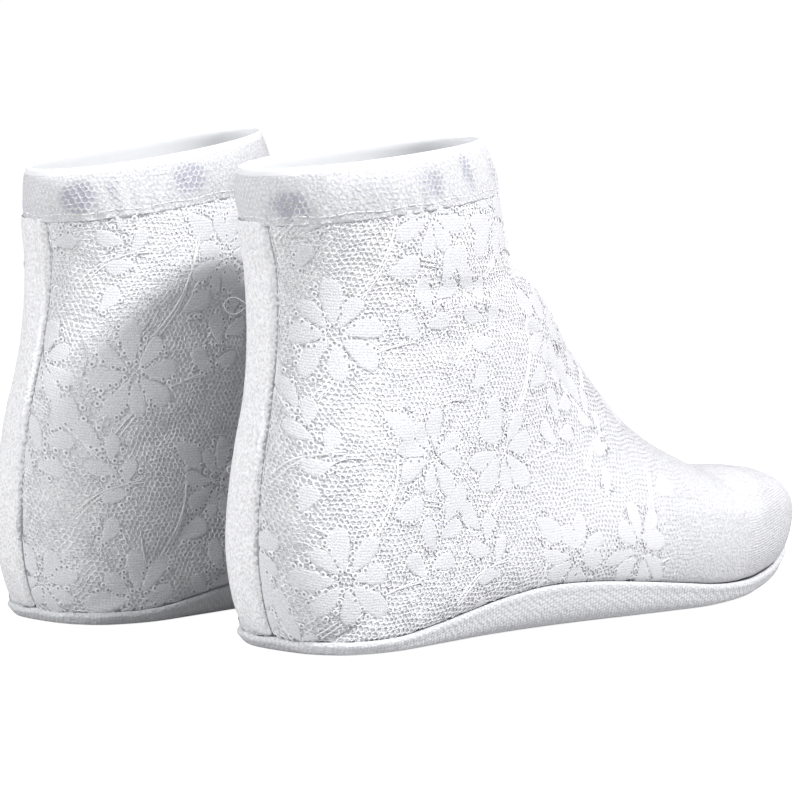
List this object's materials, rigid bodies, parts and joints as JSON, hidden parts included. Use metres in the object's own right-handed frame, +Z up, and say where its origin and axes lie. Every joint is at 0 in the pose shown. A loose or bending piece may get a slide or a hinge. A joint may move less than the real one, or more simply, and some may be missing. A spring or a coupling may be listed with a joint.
{
  "type": "tabi cover pair",
  "caption": "White ankle-high lace covers for the feet with a split toe, a cloth sole turned up round the foot and a soft turned cuff, filled out as if worn.",
  "frame": {"origin": "middle of the pair on the ground, under both soles", "axes": "+Z up, toes towards -Y, heels towards +Y; the right cover at -X and the left one at +X"},
  "size_m": [0.1938, 0.2512, 0.161],
  "materials": {
    "outer_panel_R_lace": "matt floral lace over a white lining",
    "inner_panel_R_lace": "matt floral lace over a white lining",
    "sole_cloth_R": "matt, with a small raised weave",
    "cuff_lace_R": "matt lace folded over an elastic",
    "outer_panel_L_lace": "matt floral lace over a white lining",
    "inner_panel_L_lace": "matt floral lace over a white lining",
    "sole_cloth_L": "matt, with a small raised weave",
    "cuff_lace_L": "matt lace folded over an elastic"
  },
  "bodies": {
    "root": {"outer_panel_R": "outer_panel_R_lace", "inner_panel_R": "inner_panel_R_lace", "sole_R": "sole_cloth_R", "cuff_band_R": "cuff_lace_R", "outer_panel_L": "outer_panel_L_lace", "inner_panel_L": "inner_panel_L_lace", "sole_L": "sole_cloth_L", "cuff_band_L": "cuff_lace_L"}
  },
  "joints": []
}
